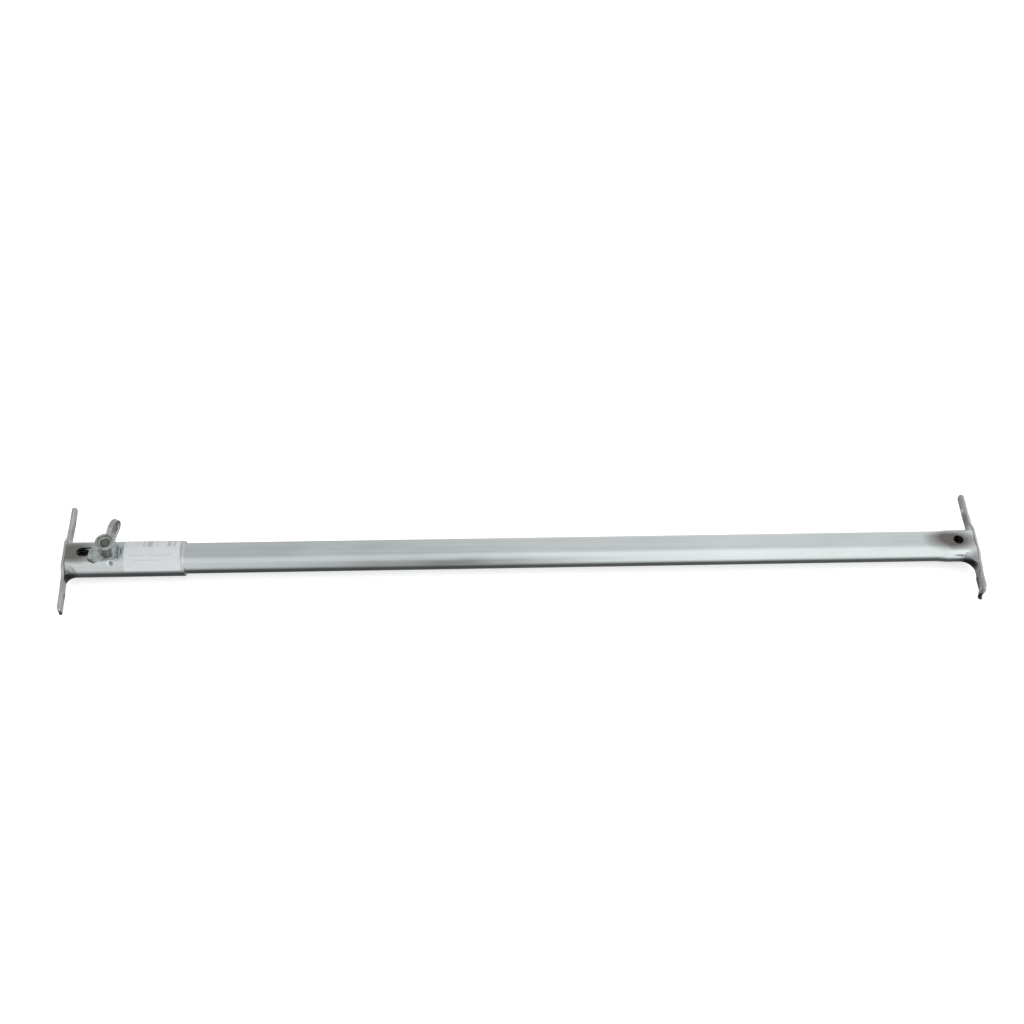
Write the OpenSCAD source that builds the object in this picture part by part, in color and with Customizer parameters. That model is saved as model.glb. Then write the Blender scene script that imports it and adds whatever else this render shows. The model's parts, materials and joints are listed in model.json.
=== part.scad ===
// Telescopic stay bar: a long tube slides in a short sleeve, and a wing nut clamps the two.
// The X axis runs along the bar from the sleeve's foot (x = 0), and the clamp bolt is along +Z.

/* [Whole bar] */
// Length over both feet with the bar fully extended
overall_l = 600; // [300:10:900]
// Distance that the bar shortens when the main tube slides into the sleeve
travel = 15; // [8:1:15]

/* [Main tube] */
// Outer diameter of the main tube
tube_od = 20; // [18:1:20]
// Wall thickness of the main tube
tube_wall = 1.2; // [0.8:0.1:1.5]
// Height over the flats pressed on the hidden end, inside the sleeve
tube_flat_h = 16.2; // [15:0.1:16.2]
// Height over the flats pressed beside the far foot
end_flat_h = 15.5; // [13:0.5:17]
// Length of the full flat beside the far foot, from the foot's outer face
end_flat_l = 18; // [18:1:30]
// Length over which a pressed flat runs out into the round tube
ramp_l = 7; // [4:1:12]
// Distance of the cross hole from the far foot's outer face
cross_hole_x = 13; // [9:0.5:13]
// Diameter of the cross hole
cross_hole_d = 6.6; // [5:0.1:7]

/* [Sleeve] */
// Outer diameter of the sleeve
sleeve_od = 23; // [23:0.5:26]
// Radial clearance between the sleeve and the main tube
slide_gap = 0.1; // [0.05:0.05:0.3]
// Length of the sleeve, from its foot's outer face to its open end
sleeve_l = 78; // [74:1:120]
// Height over the flats pressed on the sleeve
sleeve_flat_h = 19.2; // [19.2:0.1:20]
// Length of the sleeve's full flat, from its foot's outer face
sleeve_flat_l = 36; // [36:0.5:38]
// Length over which the sleeve's flat runs out into the round
sleeve_ramp_l = 3.5; // [3:0.5:5]
// Width of the slot in each flat
slot_w = 6.4; // [6.2:0.1:7]
// Distance of the slot's first end from the foot's outer face
slot_start = 9; // [7:0.5:9]
// Diameter of the round dimple pressed into the sleeve's front
dimple_d = 4.6; // [3:0.1:6]
// Depth of the dimple
dimple_depth = 0.6; // [0.3:0.1:0.8]

/* [Feet] */
// Length of a foot plate, tip to tip
foot_l = 80; // [70:1:100]
// Height of the sleeve foot's middle, where the sleeve meets it
sleeve_pad_h = 19; // [17:0.5:19]
// Height of the far foot's middle, where the main tube meets it
tube_pad_h = 16; // [15.5:0.5:19]
// Thickness of a foot plate
foot_t = 2; // [1.5:0.1:2.5]
// Radius of a foot plate's rounded tips, half the width of its ears
foot_tip_r = 4.5; // [4:0.5:7]
// The same for the ear that ends in the lip
lip_tip_r = 5.5; // [4:0.5:7]
// Distance between a foot plate's two screw holes
screw_spacing = 56; // [50:1:58]
// Diameter of the screw holes
screw_hole_d = 4.2; // [3.5:0.1:5]
// Radius of the flare between a tube's sides and its foot plate
flare_r = 6; // [3:0.5:7]
// Length of the bent lip on the far foot's front ear
lip_l = 6; // [4:0.5:8]
// Angle by which the lip is bent towards the bar
lip_angle = 20; // [0:5:60]

/* [Clamp] */
// Diameter of the bolt's shank (M6)
bolt_d = 6; // [5:0.1:6]
// Length of the bolt below its head
bolt_l = 30; // [29:0.5:31]
// Diameter of the bolt's domed head
head_d = 14; // [12:0.5:15]
// Height of the domed head
head_h = 3.3; // [2:0.1:4]
// Height of the square neck under the head
neck_h = 3; // [2:0.1:3.2]
// Outer diameter of the flat washer
washer_d = 12; // [11:0.5:12.5]
// Thickness of the flat washer
washer_t = 1.6; // [1:0.1:2]
// Diameter of the wing nut's hub at its base
hub_base_d = 14; // [12:0.5:15]
// Diameter of the wing nut's hub at its top
hub_top_d = 12.6; // [11:0.1:13]
// Height of the wing nut's hub
hub_h = 10; // [8:0.5:11]
// Span over the two wings
wing_span = 34; // [28:1:38]
// Height of the wing tips above the nut's base
wing_h = 16; // [13:0.5:18]
// Radius of a wing's rounded tip
wing_tip_r = 5.6; // [4:0.1:6]
// Thickness of a wing
wing_t = 3.2; // [2:0.1:4]
// Direction of the wings about the bolt, from +X, with the nut tight
wing_turn = 64; // [0:1:180]

/* [Label] */
// Length of the label along the sleeve
label_l = 36; // [20:1:36]
// Thickness of the label
label_t = 0.15; // [0.1:0.05:0.3]
// Angle at which the label starts, behind the top of the sleeve
label_back = 75; // [30:5:85]
// Angle at which the label ends, in front of the top of the sleeve
label_front = 70; // [40:5:100]

/* [Hidden] */

$fn = 96;
big = 200;                 // larger than any cross-section here
seat_gap = 0.05;           // between the sleeve's flat, the washer and the nut
thread_gap = 0.05;         // radial, between the bolt and the nut
neck_gap = 0.2;            // each side, between the square neck and its slot
dimple_angle = 46;         // from the top of the sleeve towards its front
dimple_ahead = 2.4;        // the dimple's distance from the bolt, away from the foot
pad_w = 25;                // across the middle of a foot plate
pad_corner_r = 4;          // at the corners of the middle, outer and inner
recess_d = 9.4;            // the hollow in the top of the wing nut's hub
recess_depth = 1.6;
washer_hole_d = bolt_d + 0.4;

tube_r = tube_od / 2;
sleeve_r = sleeve_od / 2;
sleeve_bore_r = tube_r + slide_gap;
sleeve_wall = sleeve_r - sleeve_bore_r;
neck_w = slot_w - 2 * neck_gap;
// A square neck stops short of a slot's round end by this much more than a round shank does.
neck_stop = neck_w / 2 - sqrt(pow(slot_w / 2, 2) - pow(neck_w / 2, 2)) + 0.1;
slot_l = travel + slot_w + 2 * neck_stop;
slot_end = slot_start + slot_l;
bolt_x = slot_end - slot_w / 2 - neck_stop;
tube_start = bolt_x - 8.2;
tube_flat_end = sleeve_flat_l + sleeve_ramp_l + travel + 1.5;
tube_end = overall_l - foot_t;
flat_z = sleeve_flat_h / 2;
head_z = -flat_z - 2 * seat_gap;
washer_z = flat_z + seat_gap;
nut_z = washer_z + washer_t + seat_gap;

// A slab across the whole tube, h high over its two flats from x0 to x1, that opens out
// over a ramp at either end until it clears a tube of radius r.
module pressed_slab(x0, x1, h, ramp, r, ramp_at_start, ramp_at_end) {
    open_z = r + 1;
    grow = ramp * (open_z - h / 2) / (r - h / 2);
    upper = concat(
        ramp_at_start ? [[-big, open_z], [x0 - grow, open_z], [x0, h / 2]] : [[-big, h / 2]],
        ramp_at_end ? [[x1, h / 2], [x1 + grow, open_z], [overall_l + big, open_z]]
                    : [[overall_l + big, h / 2]]
    );
    lower = [for (i = [len(upper) - 1 : -1 : 0]) [upper[i][0], -upper[i][1]]];
    rotate([90, 0, 0])
        linear_extrude(big, center = true)
            polygon(concat(upper, lower));
}

module rod_x(x0, x1, r) {
    translate([x0, 0, 0])
        rotate([0, 90, 0])
            cylinder(h = x1 - x0, r = r);
}

// The solid inside the main tube's skin, or inside its bore, for a skin offset inwards by inset.
module tube_form(x0, x1, inset) {
    intersection() {
        rod_x(x0, x1, tube_r - inset);
        pressed_slab(-big, tube_flat_end, tube_flat_h - 2 * inset, ramp_l,
            tube_r - inset, false, true);
        pressed_slab(overall_l - end_flat_l, overall_l, end_flat_h - 2 * inset, ramp_l,
            tube_r - inset, true, false);
    }
}

module sleeve_form(x0, x1, r, h) {
    intersection() {
        rod_x(x0, x1, r);
        pressed_slab(-big, sleeve_flat_l, h, sleeve_ramp_l, r, false, true);
    }
}

module slot_cut() {
    for (x = [slot_start + slot_w / 2, slot_end - slot_w / 2])
        translate([x, 0, 0])
            cylinder(h = sleeve_od + 2, d = slot_w, center = true);
    translate([(slot_start + slot_end) / 2, 0, 0])
        cube([slot_l - slot_w, slot_w, sleeve_od + 2], center = true);
}

module sleeve_tube() {
    // A sphere of this radius cuts a dimple of the stated diameter and depth.
    ball_r = (pow(dimple_d / 2, 2) + pow(dimple_depth, 2)) / (2 * dimple_depth);
    color([0.80, 0.81, 0.81])
        difference() {
            sleeve_form(foot_t, sleeve_l, sleeve_r, sleeve_flat_h);
            sleeve_form(foot_t - 1, sleeve_l + 1, sleeve_bore_r, sleeve_flat_h - 2 * sleeve_wall);
            slot_cut();
            translate([bolt_x + dimple_ahead, 0, 0])
                rotate([dimple_angle, 0, 0])
                    translate([0, 0, sleeve_r - dimple_depth + ball_r])
                        sphere(r = ball_r);
        }
}

// Outline of a foot plate in its own plane: a middle pad_h high, and two narrower ears.
// The front ear's tip has the radius front_r.
module foot_outline(pad_h, front_r) {
    offset(r = -pad_corner_r)
        offset(delta = pad_corner_r) {
            offset(r = pad_corner_r)
                square([pad_h, pad_w] - 2 * [pad_corner_r, pad_corner_r], center = true);
            for (ear = [[-1, front_r], [1, foot_tip_r]])
                scale([1, ear[0]]) {
                    translate([-ear[1], 0])
                        square([2 * ear[1], foot_l / 2 - ear[1]]);
                    translate([0, foot_l / 2 - ear[1]])
                        circle(r = ear[1]);
                }
        }
}

// A foot plate from x = 0 to foot_t, with its screw holes.
module foot_plate(pad_h, front_r) {
    difference() {
        rotate([0, -90, 0])
            translate([0, 0, -foot_t])
                linear_extrude(foot_t)
                    foot_outline(pad_h, front_r);
        for (side = [-1, 1])
            translate([-1, side * screw_spacing / 2, 0])
                rotate([0, 90, 0])
                    cylinder(h = foot_t + 2, d = screw_hole_d);
    }
}

// The flare that leads a tube's two sides into the plate at x = 0, on the +X side of it,
// kept within the plate's outline.
module flare(r, pad_h, front_r) {
    intersection() {
        rotate([0, 90, 0])
            rotate_extrude()
                difference() {
                    translate([r, 0])
                        square(flare_r);
                    translate([r + flare_r, flare_r])
                        circle(r = flare_r);
                }
        rotate([0, -90, 0])
            translate([0, 0, -flare_r])
                linear_extrude(flare_r)
                    foot_outline(pad_h, front_r);
    }
}

module sleeve_foot() {
    color([0.76, 0.77, 0.77]) {
        foot_plate(sleeve_pad_h, foot_tip_r);
        translate([foot_t, 0, 0])
            flare(sleeve_r, sleeve_pad_h, foot_tip_r);
    }
}

module main_tube() {
    color([0.82, 0.83, 0.83])
        difference() {
            tube_form(tube_start, tube_end, 0);
            tube_form(tube_start - 1, tube_end + 1, tube_wall);
            // round hole for the bolt above, square hole for its neck below
            translate([bolt_x, 0, 0])
                cylinder(h = tube_od, d = bolt_d + 0.6);
            translate([bolt_x, 0, -tube_od / 2])
                cube([slot_w, slot_w, tube_od], center = true);
            translate([overall_l - cross_hole_x, 0, 0])
                cylinder(h = tube_od, d = cross_hole_d, center = true);
        }
}

// The far foot's plate ends in a lip, bent about the plate's inner face. The plate and the lip
// run into each other inside the bend, and a sector of a cylinder fills the bend's outside.
module tube_foot() {
    lip_y = -foot_l / 2 + lip_l;
    lap = 0.4;
    side = 10;             // degrees that the sector reaches into the metal on either side
    color([0.76, 0.77, 0.77])
        translate([overall_l, 0, 0])
            mirror([1, 0, 0]) {
                difference() {
                    foot_plate(tube_pad_h, lip_tip_r);
                    translate([-1, lip_y - foot_l, -tube_od])
                        cube([foot_t + 2, foot_l, 2 * tube_od]);
                }
                translate([foot_t, lip_y, 0]) {
                    rotate([0, 0, lip_angle])
                        translate([-foot_t, -lip_y, 0])
                            difference() {
                                foot_plate(tube_pad_h, lip_tip_r);
                                translate([-1, lip_y + lap, -tube_od])
                                    cube([foot_t + 2, 2 * foot_l, 2 * tube_od]);
                            }
                    intersection() {
                        cylinder(h = 2 * lip_tip_r - 0.1, r = foot_t, center = true);
                        linear_extrude(2 * lip_tip_r, center = true)
                            polygon(concat([[0, 0]], [
                                for (turn = [-side, lip_angle / 2, lip_angle + side])
                                    2 * foot_t * [-cos(turn), -sin(turn)]
                            ]));
                    }
                }
                translate([foot_t, 0, 0])
                    flare(tube_r, tube_pad_h, lip_tip_r);
            }
}

module clamp_bolt() {
    // the dome is a cap of a sphere of this radius
    dome_r = (pow(head_d / 2, 2) + pow(head_h, 2)) / (2 * head_h);
    color([0.72, 0.72, 0.70])
        translate([bolt_x, 0, head_z]) {
            cylinder(h = bolt_l - 0.6, d = bolt_d);
            translate([0, 0, bolt_l - 0.6])
                cylinder(h = 0.6, d1 = bolt_d, d2 = bolt_d - 1.2);
            translate([0, 0, neck_h / 2])
                cube([neck_w, neck_w, neck_h], center = true);
            intersection() {
                translate([0, 0, dome_r - head_h])
                    sphere(r = dome_r);
                translate([0, 0, -head_h / 2])
                    cylinder(h = head_h, d = head_d + 1, center = true);
            }
        }
}

module nut_washer() {
    color([0.70, 0.71, 0.71])
        translate([bolt_x, 0, washer_z])
            difference() {
                cylinder(h = washer_t, d = washer_d);
                translate([0, 0, -1])
                    cylinder(h = washer_t + 2, d = washer_hole_d);
            }
}

// One wing in the XZ plane: a rounded ear carried by a web that rises out of the hub.
module wing_outline() {
    tip = [wing_span / 2 - wing_tip_r, wing_h - wing_tip_r];
    away = atan2(tip[1] - 1.2, tip[0]);
    translate(tip)
        circle(r = wing_tip_r);
    polygon([
        [0, 1.2], [hub_base_d / 2, 1.2],
        tip + wing_tip_r * [sin(away), -cos(away)],
        tip - wing_tip_r * [sin(away), -cos(away)],
        [0, hub_h - 1]
    ]);
}

module wing_nut() {
    color([0.66, 0.67, 0.66])
        translate([bolt_x, 0, nut_z])
            rotate([0, 0, wing_turn])
                difference() {
                    union() {
                        cylinder(h = hub_h, d1 = hub_base_d, d2 = hub_top_d);
                        for (turn = [0, 180])
                            rotate([90, 0, turn])
                                linear_extrude(wing_t, center = true)
                                    wing_outline();
                    }
                    translate([0, 0, -1])
                        cylinder(h = hub_h + 2, d = bolt_d + 2 * thread_gap);
                    translate([0, 0, hub_h - recess_depth])
                        cylinder(h = wing_h, d = recess_d);
                }
}

module sleeve_label() {
    reach = 2 * sleeve_od;
    start = sleeve_flat_l + sleeve_ramp_l + 0.2;
    angles = [label_front, label_front / 2, 0, -label_back / 2, -label_back];
    color([0.95, 0.95, 0.95])
        intersection() {
            difference() {
                rod_x(start, start + label_l, sleeve_r + label_t);
                rod_x(start - 1, start + label_l + 1, sleeve_r);
            }
            translate([start - 1, 0, 0])
                rotate([90, 0, 90])
                    linear_extrude(label_l + 2)
                        polygon(concat([[0, 0]], [for (a = angles) reach * [-sin(a), cos(a)]]));
        }
}

sleeve_tube();
sleeve_foot();
sleeve_label();
main_tube();
tube_foot();
clamp_bolt();
nut_washer();
wing_nut();
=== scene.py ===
"""Looks of a telescopic stay bar: zinc-plated tubes, pressed feet, a coach bolt, a washer,
a cast wing nut and a paper label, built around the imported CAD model."""
import json
import math

import bmesh
import bpy
from mathutils import Matrix, Vector


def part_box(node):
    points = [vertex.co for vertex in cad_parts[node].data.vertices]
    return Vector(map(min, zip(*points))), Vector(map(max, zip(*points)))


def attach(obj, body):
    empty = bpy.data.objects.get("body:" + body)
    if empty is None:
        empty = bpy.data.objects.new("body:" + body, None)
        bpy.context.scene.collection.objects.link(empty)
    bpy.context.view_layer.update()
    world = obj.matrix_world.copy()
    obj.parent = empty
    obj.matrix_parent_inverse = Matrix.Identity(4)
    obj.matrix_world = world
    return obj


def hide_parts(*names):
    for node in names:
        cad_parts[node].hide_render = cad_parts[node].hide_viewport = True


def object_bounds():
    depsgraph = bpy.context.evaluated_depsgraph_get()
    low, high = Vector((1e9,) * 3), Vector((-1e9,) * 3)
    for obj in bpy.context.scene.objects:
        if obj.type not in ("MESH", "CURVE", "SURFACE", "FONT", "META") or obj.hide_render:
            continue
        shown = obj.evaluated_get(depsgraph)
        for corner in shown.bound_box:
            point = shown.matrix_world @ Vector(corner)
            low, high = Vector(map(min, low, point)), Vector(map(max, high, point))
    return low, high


MM = 0.001
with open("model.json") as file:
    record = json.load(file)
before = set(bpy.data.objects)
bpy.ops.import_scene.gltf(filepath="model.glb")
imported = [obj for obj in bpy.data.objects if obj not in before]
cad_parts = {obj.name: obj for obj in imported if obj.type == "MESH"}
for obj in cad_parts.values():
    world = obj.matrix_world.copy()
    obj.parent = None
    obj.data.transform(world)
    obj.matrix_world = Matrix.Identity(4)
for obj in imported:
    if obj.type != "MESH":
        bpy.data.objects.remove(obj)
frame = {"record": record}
CAD_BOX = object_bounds()
BODY_OF = {
    node: body
    for body, nodes in frame["record"]["behaviour"]["bodies"].items()
    for node in nodes
}
MOUNTS = {mount["name"]: mount for mount in frame["record"]["mounts"]}

# ---------------------------------------------------------------- sizes, from the frame
SLEEVE_LO, SLEEVE_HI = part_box("sleeve_tube")
TUBE_LO, TUBE_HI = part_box("main_tube")
FOOT_LO, FOOT_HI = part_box("sleeve_foot")
WASHER_LO, WASHER_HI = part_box("nut_washer")
NUT_LO, NUT_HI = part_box("wing_nut")
BOLT_LO, BOLT_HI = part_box("clamp_bolt")
LABEL_LO, LABEL_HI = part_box("sleeve_label")
BOLT_X = (WASHER_LO.x + WASHER_HI.x) / 2
SLEEVE_R = SLEEVE_HI.y
TUBE_R = TUBE_HI.y
BAR_L = CAD_BOX[1][0]
FOOT_T = SLEEVE_LO.x
FOOT_L = FOOT_HI.y - FOOT_LO.y
SLEEVE_PAD = FOOT_HI.z
TUBE_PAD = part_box("tube_foot")[1].z
CROSS_HOLE = MOUNTS["tube_cross_hole"]
SCREWS = MOUNTS["sleeve_plate_holes"]["dims"]

# sizes that the frame's boxes don't give
SEAT_GAP = 0.05 * MM
CUTTER_REACH = 20 * MM
# the sleeve: its wall, where its flats and their ramps end, and its slots
SLEEVE_WALL = 1.4 * MM
SLEEVE_EDGE = 0.3 * MM
SLEEVE_FLAT_END = 36 * MM
SLEEVE_RAMP = 3.5 * MM
SLOT_W = 6.4 * MM
SLOT_START = 9 * MM
SLOT_END = BOLT_X + 5.19 * MM
# the main tube: its wall, the flats at its hidden end and those beside the far foot
TUBE_WALL = 1.2 * MM
TUBE_EDGE = 0.25 * MM
BOLT_HOLE_R = 3.3 * MM
HIDDEN_FLAT_Z = 8.1 * MM
HIDDEN_FLAT_END = 56 * MM
RAMP = 7 * MM
END_FLAT_Z = CROSS_HOLE["dims"]["length_mm"] / 2 * MM
END_FLAT_START = BAR_L - 18 * MM
END_RAMP = 9.5 * MM
END_WIDENING = 0.08
END_DISH = 0.35 * MM
# how softly a flat meets the round, and how deep into the wall the skin's shaping goes
FLAT_CORNER = 0.8 * MM
END_CORNER = 1.2 * MM
SKIN_DEPTH = 0.3 * MM
# the feet: an ear's usual half height, then the two kinds of ear
EAR_R = 4.5 * MM
# half height, length of the rounded tip, height of the crown
PLAIN_EAR = (EAR_R, EAR_R, 1.1 * MM)
LIP_EAR = (5.5 * MM, 3 * MM, 2.2 * MM)
PAD_FLAT = 8.5 * MM
PAD_BLEND = 8 * MM
CROWN_START = 18 * MM
CROWN_BLEND = 8 * MM
LIP_START = 33.8 * MM
LIP_BEND_R = 1.5 * MM
LIP_ANGLE = math.radians(20)
# the wing nut
WING_TURN = math.radians(64)
WING_REACH = 17 * MM
WING_TIP_R = 5.6 * MM
WING_FOOT = 1.2 * MM
# the sleeve's flat, and the dimple: its place along the bar, and its angle down the front
SLEEVE_FLAT_Z = WASHER_LO.z - SEAT_GAP
DIMPLE = (BOLT_X + 2.4 * MM, math.radians(46))
DIMPLE_R = 2.6 * MM
DIMPLE_DEPTH = 0.6 * MM
# how far a tube's side leans out into its foot: along the bar and across it, front and back
SLEEVE_FLARE = ((6.5 * MM, 6.5 * MM), (4 * MM, 4.5 * MM))
TUBE_FLARE = ((9 * MM, 11 * MM), (4.5 * MM, 4.5 * MM))


# ---------------------------------------------------------------- mesh tools
def soft_min(a, b, k):
    """The smaller of a and b, with the corner between them rounded over k."""
    near = max(k - abs(a - b), 0.0) / k
    return min(a, b) - near * near * k / 4


def smooth(t):
    """Eases from 0 to 1 as t does."""
    t = min(max(t, 0.0), 1.0)
    return t * t * (3 - 2 * t)


def spread(a, b, step):
    """Stations from a to b, about step apart, both ends included."""
    count = max(1, round(abs(b - a) / step))
    return [a + (b - a) * i / count for i in range(count + 1)]


def join_stations(*runs):
    """Several runs of stations end to end, with no station twice."""
    out = []
    for run in runs:
        for value in run:
            if not out or abs(value - out[-1]) > 1e-6:
                out.append(value)
    return out


def mesh_object(name, verts, faces):
    mesh = bpy.data.meshes.new(name)
    mesh.from_pydata([tuple(v) for v in verts], [], faces)
    bm = bmesh.new()
    bm.from_mesh(mesh)
    bmesh.ops.recalc_face_normals(bm, faces=bm.faces)
    bm.to_mesh(mesh)
    bm.free()
    obj = bpy.data.objects.new(name, mesh)
    bpy.context.scene.collection.objects.link(obj)
    return obj


def loft(name, rings, close_rings=False):
    """A skin over rings of points, capped at both ends unless the last ring joins the first."""
    size = len(rings[0])
    verts = [p for ring in rings for p in ring]
    faces = []
    for i in range(len(rings) if close_rings else len(rings) - 1):
        a, b = i * size, (i + 1) % len(rings) * size
        for j in range(size):
            k = (j + 1) % size
            faces.append((a + j, a + k, b + k, b + j))
    if not close_rings:
        faces.append(tuple(range(size)))
        last = (len(rings) - 1) * size
        faces.append(tuple(last + j for j in reversed(range(size))))
    return mesh_object(name, verts, faces)


def revolve(name, profile, steps, close=False):
    """A profile of (radius, height) points turned about Z. close joins its two ends."""
    rings = []
    for radius, height in profile:
        ring = []
        for i in range(steps):
            turn = 2 * math.pi * i / steps
            ring.append((radius * math.cos(turn), radius * math.sin(turn), height))
        rings.append(ring)
    return loft(name, rings, close_rings=close)


def arc(centre, radius, start, end, steps):
    """Points on an arc, angles in degrees."""
    out = []
    for i in range(steps + 1):
        turn = math.radians(start + (end - start) * i / steps)
        out.append((centre[0] + radius * math.cos(turn), centre[1] + radius * math.sin(turn)))
    return out


def prism(name, outline, axis, low, high):
    """An outline extruded along an axis. Its points hold the other two coordinates in order."""
    at = "xyz".index(axis)
    return loft(name, [[(*p[:at], h, *p[at:]) for p in outline] for h in (low, high)])


def settle(obj):
    """Replaces an object's mesh with the result of its modifiers."""
    graph = bpy.context.evaluated_depsgraph_get()
    mesh = bpy.data.meshes.new_from_object(obj.evaluated_get(graph))
    old = obj.data
    obj.modifiers.clear()
    obj.data = mesh
    bpy.data.meshes.remove(old)
    return obj


def cut(obj, cutters):
    """Cuts the cutters out of obj one by one, and removes them."""
    for cutter in cutters:
        step = obj.modifiers.new("cut", "BOOLEAN")
        step.operation = "DIFFERENCE"
        step.solver = "EXACT"
        step.object = cutter
        settle(obj)
        bpy.data.objects.remove(cutter)
    return obj


def even_shading(obj):
    """Weights the normals by face area, so that large faces look flat."""
    weigh = obj.modifiers.new("weigh", "WEIGHTED_NORMAL")
    weigh.weight = 60
    return settle(obj)


def soften(obj, width, limit=50):
    """Rounds the edges that turn by more than limit degrees, and shades the whole smoothly."""
    bevel = obj.modifiers.new("bevel", "BEVEL")
    bevel.width = width
    bevel.segments = 2
    bevel.limit_method = "ANGLE"
    bevel.angle_limit = math.radians(limit)
    bevel.use_clamp_overlap = True
    settle(obj)
    obj.data.shade_smooth()
    return even_shading(obj)


def crisp(obj, limit):
    """Shades smoothly all but the edges that turn by more than limit degrees."""
    obj.data.shade_smooth()
    obj.data.set_sharp_from_angle(angle=math.radians(limit))
    return obj


def melt(obj, voxel, passes):
    """Fuses overlapping solids into one soft casting."""
    remesh = obj.modifiers.new("remesh", "REMESH")
    remesh.mode = "VOXEL"
    remesh.voxel_size = voxel
    settle(obj)
    relax = obj.modifiers.new("relax", "SMOOTH")
    relax.factor = 0.5
    relax.iterations = passes
    settle(obj)
    obj.data.shade_smooth()
    return obj


def merge(name, parts):
    """Joins several objects' meshes into one object."""
    bm = bmesh.new()
    for part in parts:
        bm.from_mesh(part.data)
        bpy.data.objects.remove(part)
    mesh = bpy.data.meshes.new(name)
    bm.to_mesh(mesh)
    bm.free()
    obj = bpy.data.objects.new(name, mesh)
    bpy.context.scene.collection.objects.link(obj)
    return obj


def stands_for(obj, node, material):
    """Gives a piece its material, its body and the CAD node it replaces."""
    obj.data.materials.clear()
    obj.data.materials.append(material)
    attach(obj, BODY_OF[node])
    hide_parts(node)
    return obj


# ---------------------------------------------------------------- tubes
def tube_path(stations, wall, edge):
    """The way round a tube's wall as (x, inset) points: out along the skin, back in the bore."""
    start, end = stations[0], stations[-1]
    inner = [x for x in stations if start + edge < x < end - edge]
    skin = [start + edge] + inner + [end - edge]
    path = [(x, 0.0) for x in skin]
    path += [(end, edge), (end, wall - edge)]
    path += [(x, wall) for x in reversed(skin)]
    path += [(start, wall - edge), (start, edge)]
    return path


def sweep_tube(name, path, section, steps):
    """A tube's wall: section(x, inset, turn) gives the point at each step round the path."""
    rings = []
    for x, inset in path:
        rings.append([section(x, inset, 2 * math.pi * i / steps) for i in range(steps)])
    return loft(name, rings, close_rings=True)


def flare_out(gap, y, z, flares):
    """How far a tube's side leans out into its foot's ears, at gap from the foot's plate."""
    along, across = flares[0] if y < 0 else flares[1]
    if gap >= along:
        return 0.0
    lean = across * (1 - math.sqrt(max(1 - (1 - gap / along) ** 2, 0.0)))
    side = 1 - smooth((abs(z) / EAR_R - 0.7) / 1.2)
    return math.copysign(lean * side, y)


def flare_stations(plate_x, away, flares):
    """Stations from the plate outwards, closer together where the flare turns fastest."""
    along = max(flares[0][0], flares[1][0])
    steps = 16
    gaps = [along * (1 - math.cos(math.pi / 2 * i / steps)) for i in range(steps + 1)]
    return [plate_x + away * gap for gap in gaps]


def sleeve_section(x, inset, turn):
    """A point of the sleeve, turn measured from the top towards the front."""
    radius = SLEEVE_R - inset
    flat = SLEEVE_FLAT_Z - inset
    rise = max(0.0, x - SLEEVE_FLAT_END) / SLEEVE_RAMP
    limit = flat + rise * (radius - flat) * 1.15
    y, z = -radius * math.sin(turn), radius * math.cos(turn)
    z = math.copysign(soft_min(abs(z), limit, FLAT_CORNER), z)
    if inset < SKIN_DEPTH:
        y += flare_out(x - FOOT_T, y, z, SLEEVE_FLARE)
        away = math.hypot(x - DIMPLE[0], (turn - DIMPLE[1]) * SLEEVE_R) / DIMPLE_R
        depth = DIMPLE_DEPTH * (1 - smooth((away - 0.35) / 0.65))
        y += depth * math.sin(turn)
        z -= depth * math.cos(turn)
    return (x, y, z)


def tube_section(x, inset, turn):
    """A point of the main tube: flats at both ends, the far ones dished and a little wider."""
    radius = TUBE_R - inset
    near = HIDDEN_FLAT_Z - inset
    near += max(0.0, x - HIDDEN_FLAT_END) / RAMP * (radius - near) * 1.1
    pressed = smooth((x - END_FLAT_START) / END_RAMP + 1)
    clear = radius + 1.3 * MM
    far = clear + (END_FLAT_Z - inset - clear) * pressed
    y, z = -radius * math.sin(turn), radius * math.cos(turn)
    tall = soft_min(soft_min(abs(z), near, FLAT_CORNER), far, END_CORNER)
    y *= 1 + END_WIDENING * pressed
    tall -= END_DISH * smooth(1 - abs(y) / (5 * MM)) * smooth((x - END_FLAT_START) / RAMP)
    z = math.copysign(tall, z)
    if inset < SKIN_DEPTH:
        y += flare_out(TUBE_HI.x - x, y, z, TUBE_FLARE)
    return (x, y, z)


def stadium(x0, x1, width):
    half = width / 2
    return arc((x1 - half, 0), half, -90, 90, 16) + arc((x0 + half, 0), half, 90, 270, 16)


def circle_at(x, y, radius, steps=40):
    return arc((x, y), radius, 0, 360 - 360 / steps, steps - 1)


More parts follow.
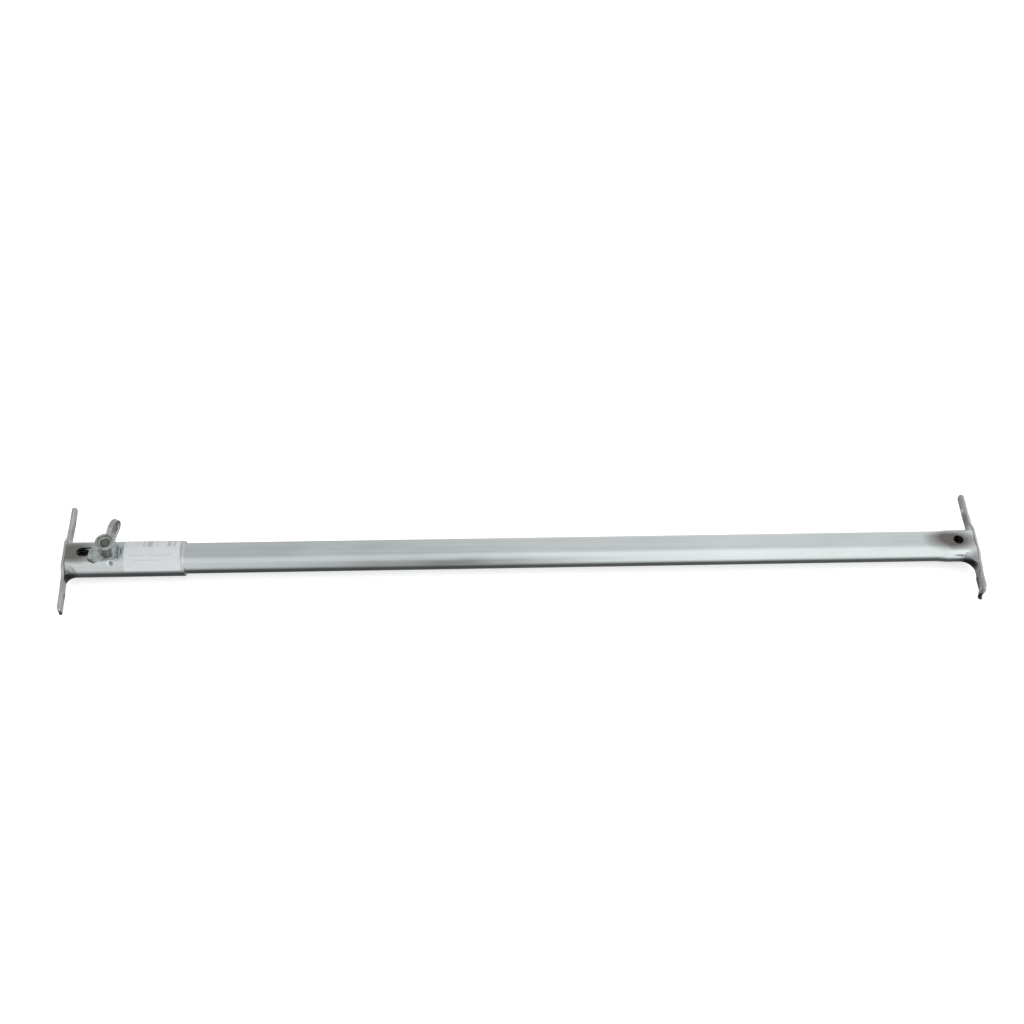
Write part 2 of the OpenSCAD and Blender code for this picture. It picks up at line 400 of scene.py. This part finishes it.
def make_sleeve(material):
    stations = join_stations(
        flare_stations(FOOT_T, 1, SLEEVE_FLARE),
        spread(FOOT_T + SLEEVE_FLARE[0][0], DIMPLE[0] - DIMPLE_R, 4 * MM),
        spread(DIMPLE[0] - DIMPLE_R, DIMPLE[0] + DIMPLE_R, 0.25 * MM),
        spread(DIMPLE[0] + DIMPLE_R, SLEEVE_FLAT_END - MM, 0.5 * MM),
        spread(SLEEVE_FLAT_END - MM, SLEEVE_FLAT_END + SLEEVE_RAMP + 2 * MM, 0.5 * MM),
        spread(SLEEVE_FLAT_END + SLEEVE_RAMP + 2 * MM, SLEEVE_HI.x - 1.5 * MM, 6 * MM),
        spread(SLEEVE_HI.x - 1.5 * MM, SLEEVE_HI.x, 0.5 * MM),
    )
    path = tube_path(stations, SLEEVE_WALL, SLEEVE_EDGE)
    obj = sweep_tube("sleeve_skin", path, sleeve_section, 180)
    outline = stadium(SLOT_START, SLOT_END, SLOT_W)
    cut(obj, [prism("slot", outline, "z", -CUTTER_REACH, CUTTER_REACH)])
    soften(obj, 0.25 * MM)
    return stands_for(obj, "sleeve_tube", material)


def make_tube(material):
    stations = join_stations(
        spread(TUBE_LO.x, HIDDEN_FLAT_END - MM, 5 * MM),
        spread(HIDDEN_FLAT_END - MM, HIDDEN_FLAT_END + RAMP + MM, MM),
        spread(HIDDEN_FLAT_END + RAMP + MM, END_FLAT_START - END_RAMP - 2 * MM, 24 * MM),
        spread(END_FLAT_START - END_RAMP - 2 * MM, TUBE_HI.x - TUBE_FLARE[0][0], 0.5 * MM),
        reversed(flare_stations(TUBE_HI.x, -1, TUBE_FLARE)),
    )
    path = tube_path(stations, TUBE_WALL, TUBE_EDGE)
    obj = sweep_tube("long_tube", path, tube_section, 120)
    hole = prism("hole", circle_at(CROSS_HOLE["pos_m"][0], 0, CROSS_HOLE["dims"]["r_mm"] * MM),
                 "z", -CUTTER_REACH, CUTTER_REACH)
    bolt_hole = prism("bolt_hole", circle_at(BOLT_X, 0, BOLT_HOLE_R), "z", 0, CUTTER_REACH)
    square = [(BOLT_X + a * SLOT_W / 2, b * SLOT_W / 2)
              for a, b in ((1, -1), (1, 1), (-1, 1), (-1, -1))]
    neck_hole = prism("neck_hole", square, "z", -CUTTER_REACH, 0)
    cut(obj, [hole, bolt_hole, neck_hole])
    crisp(obj, 60)
    return stands_for(obj, "main_tube", material)


# ---------------------------------------------------------------- feet
def foot_half(y, pad, ear, tip):
    """Half the height of a foot plate at y: a pad in the middle, and an ear with a blunt tip."""
    half = pad + (ear - pad) * smooth((abs(y) - PAD_FLAT) / PAD_BLEND)
    past = (abs(y) - (FOOT_L / 2 - tip)) / tip
    if past > 0:
        half *= max(1 - past ** 4, 0.0) ** (1 / 4)
    return half


def foot_plate(name, pad, ears):
    """A pressed foot plate, its outer face at x = 0, with rolled edges and screw holes.
    Its ears, the front one first, are crowned towards the bar as if pressed from a tube."""
    tip = FOOT_L / 2 - EAR_R
    tip_steps = [tip + EAR_R * math.sin(math.pi / 2 * i / 14) for i in range(15)]
    tip_steps[-1] -= 0.02 * MM
    stations = join_stations([-y for y in reversed(tip_steps)], spread(-tip, tip, 0.5 * MM),
                             tip_steps)
    across = [math.sin(math.pi / 2 * i / 8) for i in range(-8, 9)]
    rings = []
    for y in stations:
        ear, ear_tip, ear_crown = ears[0] if y < 0 else ears[1]
        half = foot_half(y, pad, ear, ear_tip)
        crown = ear_crown * smooth((abs(y) - CROWN_START) / CROWN_BLEND)
        in_pad = 1 - smooth((abs(y) - PAD_FLAT) / PAD_BLEND)
        rolls = [min(roll, half * 0.9) for roll in (0.5 * MM, (0.7 + 0.75 * in_pad) * MM)]
        ring = []
        for sign, face, flat, soft in ((1, FOOT_T, across, rolls[0]),
                                       (-1, 0.0, across[::-1], rolls[1])):
            for place in flat:
                ring.append((face, place * (half - soft)))
            centre = (face - sign * soft, sign * (half - soft))
            for i in (1, 2, 3):
                turn = math.radians(30 * i)
                ring.append((centre[0] + sign * soft * math.cos(turn),
                             centre[1] + sign * soft * math.sin(turn)))
        rings.append([(x + crown * (1 - min(abs(z) / ear, 1.0) ** 2), y, z) for x, z in ring])
    obj = loft(name, rings)
    spacing, radius = SCREWS["spacing_x_mm"] * MM, SCREWS["hole_r_mm"] * MM
    cut(obj, [prism("screw", circle_at(side * spacing / 2, 0, radius, 32), "x", -0.01, 0.01)
              for side in (-1, 1)])
    return soften(obj, 0.2 * MM, 60)


def make_sleeve_foot(material):
    obj = foot_plate("sleeve_foot_plate", SLEEVE_PAD, (PLAIN_EAR, PLAIN_EAR))
    return stands_for(obj, "sleeve_foot", material)


def make_tube_foot(material):
    """The far foot: the same plate turned round, with its front ear's tip curled to the bar."""
    obj = foot_plate("tube_foot_plate", TUBE_PAD, (LIP_EAR, PLAIN_EAR))
    for vert in obj.data.vertices:
        x, y, z = vert.co
        outer = FOOT_T - x
        along = -LIP_START - y
        if along > 0:
            turn = min(along / LIP_BEND_R, LIP_ANGLE)
            rest = max(0.0, along - LIP_BEND_R * LIP_ANGLE)
            reach = LIP_BEND_R + outer
            y = -LIP_START - reach * math.sin(turn) - rest * math.cos(turn)
            x = FOOT_T + LIP_BEND_R - reach * math.cos(turn) + rest * math.sin(turn)
        vert.co = (BAR_L - x, y, z)
    obj.data.flip_normals()
    even_shading(obj)
    return stands_for(obj, "tube_foot", material)


# ---------------------------------------------------------------- clamp
def make_bolt(material):
    """A coach bolt: domed head, square neck, plain shank and a rolled thread."""
    shank_r, pitch, steps = 3 * MM, 1 * MM, 48
    seat_z = -SLEEVE_FLAT_Z - 2 * SEAT_GAP
    thread_z = seat_z + 12 * MM
    rings = []
    heights = join_stations([seat_z - 0.2 * MM, thread_z],
                            spread(thread_z, BOLT_HI.z - 0.05 * MM, pitch / 10), [BOLT_HI.z])
    for z in heights:
        ring = []
        for i in range(steps):
            turn = 2 * math.pi * i / steps
            phase = ((z - thread_z) / pitch - i / steps) % 1.0
            groove = 0.32 * MM * (1 - min(1.0, 1.5 * abs(2 * phase - 1)))
            deep = smooth((z - thread_z) / pitch)
            end = max(0.0, z - BOLT_HI.z + 0.7 * MM)
            radius = shank_r - groove * deep - end
            ring.append((BOLT_X + radius * math.cos(turn), radius * math.sin(turn), z))
        rings.append(ring)
    shank = loft("shank", rings)
    head_r = (BOLT_HI.y - BOLT_LO.y) / 2
    head_h = seat_z - BOLT_LO.z
    dome_r = (head_r ** 2 + head_h ** 2) / (2 * head_h)
    reach = math.degrees(math.asin(head_r / dome_r))
    rim = 0.35 * MM
    profile = [(0.05 * MM, seat_z), (head_r - rim, seat_z)]
    profile += arc((head_r - rim, seat_z - rim), rim, 90, -30, 6)
    profile += arc((0, BOLT_LO.z + dome_r), dome_r, -90 + reach * 0.97, -89.7, 24)
    head = revolve("head", profile, 64)
    head.data.transform(Matrix.Translation((BOLT_X, 0, 0)))
    half, corner = 3 * MM, 0.4 * MM
    outline = []
    for quarter in range(4):
        a, b = (1, -1, -1, 1)[quarter], (1, 1, -1, -1)[quarter]
        outline += arc((BOLT_X + a * (half - corner), b * (half - corner)), corner,
                       90 * quarter, 90 * quarter + 90, 4)
    neck = prism("neck", outline, "z", seat_z - 0.2 * MM, seat_z + 3 * MM)
    obj = merge("coach_bolt", [shank, head, neck])
    soften(obj, 0.1 * MM, 60)
    return stands_for(obj, "clamp_bolt", material)


def make_washer(material):
    """A punched washer: rounded on the side the punch entered, sharper on the other."""
    outer, inner = (WASHER_HI.x - WASHER_LO.x) / 2, 3.2 * MM
    low, high = WASHER_LO.z, WASHER_HI.z
    top, under = 0.45 * MM, 0.12 * MM
    profile = arc((outer - top, high - top), top, 0, 90, 5)
    profile += arc((inner + top, high - top), top, 90, 180, 5)
    profile += arc((inner + under, low + under), under, 180, 270, 2)
    profile += arc((outer - under, low + under), under, 270, 360, 2)
    obj = revolve("flat_washer", profile, 72, close=True)
    obj.data.transform(Matrix.Translation((BOLT_X, 0, 0)))
    obj.data.shade_smooth()
    return stands_for(obj, "nut_washer", material)


def ear_outline(inset, start):
    """A wing's outline in its own plane as (x, z) points, from start out to its round tip."""
    tip_r = WING_TIP_R
    tip = (WING_REACH - tip_r, NUT_HI.z - NUT_LO.z - tip_r)
    away = math.degrees(math.atan2(tip[1] - WING_FOOT, tip[0]))
    return ([(start, WING_FOOT + inset), (7 * MM, WING_FOOT + inset)]
            + arc(tip, tip_r - inset, away - 90, away + 90, 24)
            + [(start, 9 * MM - inset)])


def make_wing_nut(material):
    """A cast wing nut: a tapered hub with a hollow top, and two dished ears."""
    hub_h, base_r, top_r = 10 * MM, 7 * MM, 6.3 * MM
    bore_r, hollow_r, hollow_z = 3.08 * MM, 4.7 * MM, 8.4 * MM
    hub_profile = [(bore_r, 0.3 * MM), (bore_r + 0.3 * MM, 0), (base_r - 0.4 * MM, 0),
                   (base_r, 0.4 * MM)]
    hub_profile += arc((top_r - 0.8 * MM, hub_h - 0.8 * MM), 0.8 * MM, 5, 90, 6)
    hub_profile += [(hollow_r + 0.2 * MM, hub_h), (hollow_r, hub_h - 0.3 * MM),
                    (hollow_r - 0.3 * MM, hollow_z), (bore_r, hollow_z)]
    parts = [revolve("hub", hub_profile, 96, close=True)]
    for turn in (0.0, math.pi):
        half = 1.6 * MM
        ear = prism("ear", ear_outline(0, 2 * MM), "y", -half, half)
        dish = ear_outline(1.5 * MM, 6.9 * MM)
        cut(ear, [prism("dish", dish, "y", a, b)
                  for a, b in ((half - 0.6 * MM, 2 * half), (-2 * half, 0.6 * MM - half))])
        bore = prism("bore", circle_at(0, 0, hollow_r - 0.2 * MM, 64), "z", -0.01, 0.03)
        cut(ear, [bore])
        ear.data.transform(Matrix.Rotation(turn, 4, "Z"))
        parts.append(ear)
    obj = merge("cast_wing_nut", parts)
    melt(obj, 0.22 * MM, 3)
    place = Matrix.Translation((BOLT_X, 0, NUT_LO.z)) @ Matrix.Rotation(WING_TURN, 4, "Z")
    obj.data.transform(place)
    return stands_for(obj, "wing_nut", material)


# ---------------------------------------------------------------- label
def make_label(material):
    """A paper label round the sleeve's top and front."""
    outer, inner = LABEL_HI.z, SLEEVE_R
    back = -math.asin(min(1.0, LABEL_HI.y / outer))
    front = math.acos(min(1.0, LABEL_LO.z / inner))
    turns = spread(back, front, math.radians(3))
    rings = []
    for x in spread(LABEL_LO.x, LABEL_HI.x, MM):
        skin = [(x, -outer * math.sin(t), outer * math.cos(t)) for t in turns]
        glue = [(x, -inner * math.sin(t), inner * math.cos(t)) for t in reversed(turns)]
        rings.append(skin + glue)
    obj = loft("paper_label", rings)
    crisp(obj, 40)
    return stands_for(obj, "sleeve_label", material)


# ---------------------------------------------------------------- materials
class Nodes:
    """Short ways to add and join shader nodes."""

    def __init__(self, tree):
        self.tree = tree
        tree.nodes.clear()

    def add(self, kind, **settings):
        node = self.tree.nodes.new(kind)
        for key, value in settings.items():
            setattr(node, key, value)
        return node

    def link(self, source, target):
        self.tree.links.new(source, target)

    def value(self, operation, a, b=None, c=None, clamp=False):
        """A Math node. Each operand is a number or a socket."""
        node = self.add("ShaderNodeMath", operation=operation, use_clamp=clamp)
        for i, item in enumerate((a, b, c)):
            if item is None:
                continue
            if isinstance(item, (int, float)):
                node.inputs[i].default_value = item
            else:
                self.link(item, node.inputs[i])
        return node.outputs[0]

    def noise(self, vector, scale, detail=3.0, rough=0.5, stretch=(1, 1, 1)):
        mapping = self.add("ShaderNodeMapping")
        mapping.inputs["Scale"].default_value = stretch
        self.link(vector, mapping.inputs["Vector"])
        node = self.add("ShaderNodeTexNoise")
        node.inputs["Scale"].default_value = scale
        node.inputs["Detail"].default_value = detail
        node.inputs["Roughness"].default_value = rough
        self.link(mapping.outputs[0], node.inputs["Vector"])
        return node.outputs["Fac"]

    def ramp(self, factor, stops):
        """A colour ramp through (place, colour) stops."""
        node = self.add("ShaderNodeValToRGB")
        band = node.color_ramp.elements
        while len(band) < len(stops):
            band.new(0.5)
        for item, (place, colour) in zip(band, stops):
            item.position = place
            item.color = (*colour, 1)
        self.link(factor, node.inputs["Fac"])
        return node.outputs["Color"]

    def mix(self, factor, a, b):
        """Colour a where factor is 0 and b where it is 1. Each is a colour or a socket."""
        node = self.add("ShaderNodeMix", data_type="RGBA")
        colour_inputs = [s for s in node.inputs if s.type == "RGBA"]
        for socket, item in ((node.inputs[0], factor), (colour_inputs[0], a),
                             (colour_inputs[1], b)):
            if isinstance(item, tuple):
                socket.default_value = (*item, 1)
            elif isinstance(item, (int, float)):
                socket.default_value = item
            else:
                self.link(item, socket)
        return [s for s in node.outputs if s.type == "RGBA"][0]

    def bump(self, height, strength, distance, under=None):
        """A bump's normal, laid over the bump under it if there is one."""
        node = self.add("ShaderNodeBump")
        node.inputs["Strength"].default_value = strength
        node.inputs["Distance"].default_value = distance
        self.link(height, node.inputs["Height"])
        if under is not None:
            self.link(under, node.inputs["Normal"])
        return node.outputs[0]


def new_material(name):
    material = bpy.data.materials.new(name)
    material.use_nodes = True
    kit = Nodes(material.node_tree)
    shader = kit.add("ShaderNodeBsdfPrincipled")
    out = kit.add("ShaderNodeOutputMaterial")
    kit.link(shader.outputs[0], out.inputs[0])
    coords = kit.add("ShaderNodeTexCoord").outputs["Object"]
    return material, kit, shader, coords


def plated(name, light, dark, rough, streaks, grain, tints_and_painted_shade=()):
    """Bright zinc plating: cloudy colour, drawn streaks along X and fine pitting.

    light and dark are the two tints of the plating, streaks and grain the depth of the drawn
    lines and of the pitting in millimetres. The last argument lists the places tinted darker,
    each with its centre, its reach along X, Y and Z, and its tint. Most are painted shade:
    dark reflections and shade painted where the metal faces dark surroundings or sits in a
    hollow. The others are a real scorch stain and a darker brownish patch."""
    material, kit, shader, coords = new_material(name)
    cloud = kit.noise(coords, 55, 4, 0.55, (0.35, 1, 1))
    fine = kit.noise(coords, 900, 2, 0.6)
    lines = kit.noise(coords, 420, 3, 0.6, (0.012, 1, 1))
    tone = kit.value("MULTIPLY_ADD", lines, 0.45, kit.value("MULTIPLY", cloud, 0.55))
    colour = kit.ramp(tone, [(0.36, dark), (0.62, light)])
    # each listed place mixes its tint into the colour; most of them are painted shade, standing
    # in for shade and dark reflections on the metal
    for centre, reach, tint in tints_and_painted_shade:
        offset = kit.add("ShaderNodeVectorMath", operation="SUBTRACT")
        kit.link(coords, offset.inputs[0])
        offset.inputs[1].default_value = centre
        shape = kit.add("ShaderNodeVectorMath", operation="DIVIDE")
        kit.link(offset.outputs[0], shape.inputs[0])
        shape.inputs[1].default_value = reach
        length = kit.add("ShaderNodeVectorMath", operation="LENGTH")
        kit.link(shape.outputs[0], length.inputs[0])
        away = kit.value("MULTIPLY_ADD", cloud, 0.7, length.outputs["Value"])
        amount = kit.value("MULTIPLY", kit.value("SUBTRACT", 1.5, away), 1.6, clamp=True)
        colour = kit.mix(kit.value("MULTIPLY", amount, 0.9), colour, tint)
    kit.link(colour, shader.inputs["Base Color"])
    shader.inputs["Metallic"].default_value = 1.0
    level = kit.value("MULTIPLY_ADD", cloud, 0.16, rough - 0.08)
    level = kit.value("ADD", level, kit.value("MULTIPLY", lines, 0.05))
    kit.link(kit.value("ADD", level, kit.value("MULTIPLY", fine, 0.04)),
             shader.inputs["Roughness"])
    drawn = kit.bump(lines, 0.35, streaks * MM)
    kit.link(kit.bump(fine, 0.35, grain * MM, drawn), shader.inputs["Normal"])
    return material


def cast(name, light, dark, rough):
    """Plated casting: soft lumps, pits and darker hollows."""
    material, kit, shader, coords = new_material(name)
    lumps = kit.noise(coords, 260, 4, 0.6)
    pits = kit.noise(coords, 1500, 3, 0.65)
    colour = kit.ramp(kit.value("MULTIPLY_ADD", pits, 0.35, kit.value("MULTIPLY", lumps, 0.65)),
                      [(0.34, dark), (0.6, light)])
    kit.link(colour, shader.inputs["Base Color"])
    shader.inputs["Metallic"].default_value = 1.0
    kit.link(kit.value("MULTIPLY_ADD", lumps, 0.20, rough - 0.10), shader.inputs["Roughness"])
    height = kit.value("MULTIPLY_ADD", pits, 0.4, kit.value("MULTIPLY", lumps, 0.6))
    kit.link(kit.bump(height, 0.5, 0.05 * MM), shader.inputs["Normal"])
    return material


def label_paper():
    """White coated paper with generic grey bars and faint dashes, and no lettering.
    Millimetres run along the bar and down round the sleeve from its top."""
    material, kit, shader, coords = new_material("label_paper")
    axes = kit.add("ShaderNodeSeparateXYZ")
    kit.link(coords, axes.inputs[0])
    x = kit.value("MULTIPLY", axes.outputs["X"], 1 / MM)
    turn = kit.value("ARCTAN2", kit.value("MULTIPLY", axes.outputs["Y"], -1.0),
                     axes.outputs["Z"])
    down = kit.value("MULTIPLY", turn, SLEEVE_R / MM)
    x0, x1 = LABEL_LO.x / MM, LABEL_HI.x / MM

    def band(value, low, high):
        above = kit.value("GREATER_THAN", value, low)
        return kit.value("MULTIPLY", above, kit.value("LESS_THAN", value, high))

    uneven = kit.noise(coords, 330, 2, 0.6, (1, 0.03, 0.03))
    bars = kit.value("MULTIPLY", kit.value("SUBTRACT", uneven, 0.42), 5.0, clamp=True)
    bars = kit.value("MULTIPLY", bars, band(x, x0 + 6, x1 - 3))
    bars = kit.value("MULTIPLY", bars, band(down, -9.5, -1.8))
    dashes = None
    for low, high, start, end in ((4.0, 4.8, 4, 13), (4.0, 4.8, 16, 31), (7.2, 7.8, 6, 27)):
        dash = kit.value("MULTIPLY", band(down, low, high), band(x, x0 + start, x0 + end))
        dashes = dash if dashes is None else kit.value("ADD", dashes, dash)
    fibre = kit.noise(coords, 700, 4, 0.6)
    paper = kit.ramp(fibre, [(0.3, (0.62, 0.63, 0.65)), (0.7, (0.69, 0.70, 0.72))])
    inked = kit.mix(kit.value("MULTIPLY", bars, 0.5), paper, (0.22, 0.23, 0.25))
    inked = kit.mix(kit.value("MULTIPLY", dashes, 0.3), inked, (0.36, 0.37, 0.42))
    kit.link(inked, shader.inputs["Base Color"])
    kit.link(kit.value("MULTIPLY_ADD", fibre, 0.15, 0.4), shader.inputs["Roughness"])
    kit.link(kit.bump(kit.noise(coords, 160, 3), 0.3, 0.05 * MM), shader.inputs["Normal"])
    return material


# ---------------------------------------------------------------- studio
def make_world():
    """Plain soft studio light, as bands round the bar's axis: a pale ceiling, a bright card in
    front, dark below, and one dull patch in front where the photographer stands. The light
    is a little weaker at the sleeve's end. The camera itself sees plain white."""
    ceiling, card, dark, weaker = 0.7, 1.0, 0.1, 0.7
    world = bpy.data.worlds.new("studio")
    bpy.context.scene.world = world
    world.use_nodes = True
    kit = Nodes(world.node_tree)
    axes = kit.add("ShaderNodeSeparateXYZ")
    kit.link(kit.add("ShaderNodeTexCoord").outputs["Generated"], axes.inputs[0])
    turn = kit.value("ARCTAN2", kit.value("MULTIPLY", axes.outputs["Y"], -1.0),
                     axes.outputs["Z"])
    # angles from overhead, positive to the front
    bands = kit.ramp(kit.value("MULTIPLY_ADD", turn, 0.5 / math.pi, 0.5), [
        ((degrees + 180) / 360, (level, level, level))
        for degrees, level in ((-180, dark), (-120, ceiling), (20, ceiling), (45, card),
                               (110, card), (140, dark), (180, dark))])
    fade = kit.add("ShaderNodeMapRange", interpolation_type="SMOOTHSTEP")
    kit.link(axes.outputs["X"], fade.inputs["Value"])
    fade.inputs["From Min"].default_value = -0.1
    fade.inputs["From Max"].default_value = 0.1
    dimmer = kit.mix(weaker, (0.0, 0.0, 0.0), bands)
    colour = kit.mix(fade.outputs[0], dimmer, bands)
    # the photographer: a round soft patch, by its half width and half height
    u = kit.value("DIVIDE", axes.outputs["X"], 0.08)
    v = kit.value("DIVIDE", kit.value("SUBTRACT", turn, math.radians(100)), math.radians(40))
    square = kit.value("ADD", kit.value("MULTIPLY", u, u), kit.value("MULTIPLY", v, v))
    patch = kit.value("EXPONENT", kit.value("MULTIPLY", square, -1.0))
    colour = kit.mix(kit.value("MULTIPLY", patch, 0.8), colour, (0.05, 0.05, 0.05))
    studio = kit.add("ShaderNodeBackground")
    kit.link(colour, studio.inputs["Color"])
    plain = kit.add("ShaderNodeBackground")
    plain.inputs["Color"].default_value = (1, 1, 1, 1)
    switch = kit.add("ShaderNodeMixShader")
    kit.link(kit.add("ShaderNodeLightPath").outputs["Is Camera Ray"], switch.inputs[0])
    kit.link(studio.outputs[0], switch.inputs[1])
    kit.link(plain.outputs[0], switch.inputs[2])
    kit.link(switch.outputs[0], kit.add("ShaderNodeOutputWorld").inputs[0])


def make_floor():
    """A plain pale floor under the bar. Reflections pass it and see the studio instead."""
    low = CAD_BOX[0][2]
    size, middle = 6.0, BAR_L / 2
    corners = [(middle - size, -size, low), (middle + size, -size, low),
               (middle + size, size, low), (middle - size, size, low)]
    floor = mesh_object("studio_floor", corners, [(0, 1, 2, 3)])
    material, kit, shader, coords = new_material("pale_floor")
    shade = kit.ramp(kit.noise(coords, 3, 2),
                     [(0.3, (0.86, 0.86, 0.86)), (0.7, (0.88, 0.88, 0.88))])
    kit.link(shade, shader.inputs["Base Color"])
    shader.inputs["Roughness"].default_value = 0.9
    shader.inputs["Specular IOR Level"].default_value = 0.0
    shader.inputs["Emission Color"].default_value = (1, 1, 1, 1)
    shader.inputs["Emission Strength"].default_value = 0.5
    floor.data.materials.append(material)
    floor.visible_glossy = False


def make_lamp():
    """One large soft lamp overhead that lights what is dull and stays out of reflections."""
    light = bpy.data.lights.new("soft_box", "AREA")
    light.shape = "RECTANGLE"
    light.size, light.size_y = 3.0, 2.4
    light.energy = 20
    lamp = bpy.data.objects.new("soft_box", light)
    lamp.location = (BAR_L / 2, 0.2, 2.0)
    lamp.visible_glossy = False
    bpy.context.scene.collection.objects.link(lamp)


def make_camera():
    """Looks down at 55 degrees from in front, turned and tipped a little, as fitted to the
    photograph's outline of the bar."""
    pitch, yaw, roll = math.radians(55.0), math.radians(4.4), math.radians(-2.75)
    distance = 1.024
    aim = Vector((0.4868 * BAR_L, 0.0330, 0))
    ahead = Vector((math.sin(yaw) * math.cos(pitch), math.cos(yaw) * math.cos(pitch),
                    -math.sin(pitch)))
    side = Vector((math.cos(yaw), -math.sin(yaw), 0))
    up = side.cross(ahead)
    right = math.cos(roll) * side - math.sin(roll) * up
    top = math.sin(roll) * side + math.cos(roll) * up
    data = bpy.data.cameras.new("camera")
    data.lens = 53.65
    data.sensor_width = 36
    data.clip_start = 0.01
    camera = bpy.data.objects.new("camera", data)
    turn = Matrix((right, top, -ahead)).transposed().to_4x4()
    camera.matrix_world = Matrix.Translation(aim - distance * ahead) @ turn
    bpy.context.scene.collection.objects.link(camera)
    bpy.context.scene.camera = camera


make_camera()
make_world()
make_floor()
make_lamp()
bpy.context.scene.view_settings.view_transform = "Standard"

zinc_light, zinc_dark = (0.83, 0.885, 0.89), (0.72, 0.775, 0.77)
dimple_place = (DIMPLE[0], -SLEEVE_R * math.sin(DIMPLE[1]), SLEEVE_R * math.cos(DIMPLE[1]))
tube_zinc = plated(
    "zinc_tube", zinc_light, zinc_dark, 0.12, 0.02, 0.005,
    [((CROSS_HOLE["pos_m"][0] - 4 * MM, 0, END_FLAT_Z), (18 * MM, 8 * MM, 9 * MM),
      (0.13, 0.11, 0.10)),
     # painted shade: a dark reflection painted on the tube's near side where it flares into the
     # far foot
     ((TUBE_HI.x - 3 * MM, -TUBE_R - 2 * MM, -MM), (8 * MM, 6 * MM, 7 * MM),
      (0.09, 0.10, 0.10))])
sleeve_zinc = plated(
    "zinc_sleeve", zinc_light, zinc_dark, 0.14, 0.02, 0.006,
    # darker and browner over the sleeve's flat by the foot
    [((8 * MM, 0, SLEEVE_FLAT_Z), (15 * MM, 9 * MM, 4 * MM), (0.25, 0.235, 0.22)),
     # painted shade: a dark reflection painted on the sleeve's near flare into its foot
     ((3 * MM, -SLEEVE_R - MM, MM), (7 * MM, 6 * MM, 9 * MM), (0.10, 0.10, 0.105)),
     # painted shade: a darker patch painted round the dimple's hollow
     (dimple_place, (2 * MM, 2 * MM, 2 * MM), (0.27, 0.27, 0.27))])
foot_zinc = plated(
    "zinc_foot", (0.70, 0.72, 0.70), (0.54, 0.56, 0.54), 0.22, 0.0, 0.006,
    # painted shade: dark reflections painted on the far foot's front ear and on its curled lip
    [((BAR_L - 3.6 * MM, -25 * MM, -3 * MM), (2.4 * MM, 17 * MM, 6 * MM), (0.09, 0.10, 0.10)),
     ((BAR_L - 3.5 * MM, -40 * MM, -MM), (4.5 * MM, 4 * MM, 8 * MM), (0.09, 0.09, 0.09))])
bolt_zinc = plated(
    "zinc_bolt", (0.50, 0.50, 0.45), (0.32, 0.32, 0.28), 0.30, 0.0, 0.012,
    # painted shade: the bolt's end darkened where it stands in the wing nut's hollow
    [((BOLT_X, 0, BOLT_HI.z), (5 * MM, 5 * MM, 4 * MM), (0.20, 0.19, 0.165))])
washer_zinc = plated("zinc_washer", (0.74, 0.76, 0.74), (0.58, 0.60, 0.58), 0.20, 0.0, 0.01)
nut_zinc = cast("zinc_wing_nut", (0.60, 0.63, 0.62), (0.36, 0.39, 0.38), 0.26)

make_sleeve(sleeve_zinc)
make_tube(tube_zinc)
make_sleeve_foot(foot_zinc)
make_tube_foot(foot_zinc)
make_bolt(bolt_zinc)
make_washer(washer_zinc)
make_wing_nut(nut_zinc)
make_label(label_paper())
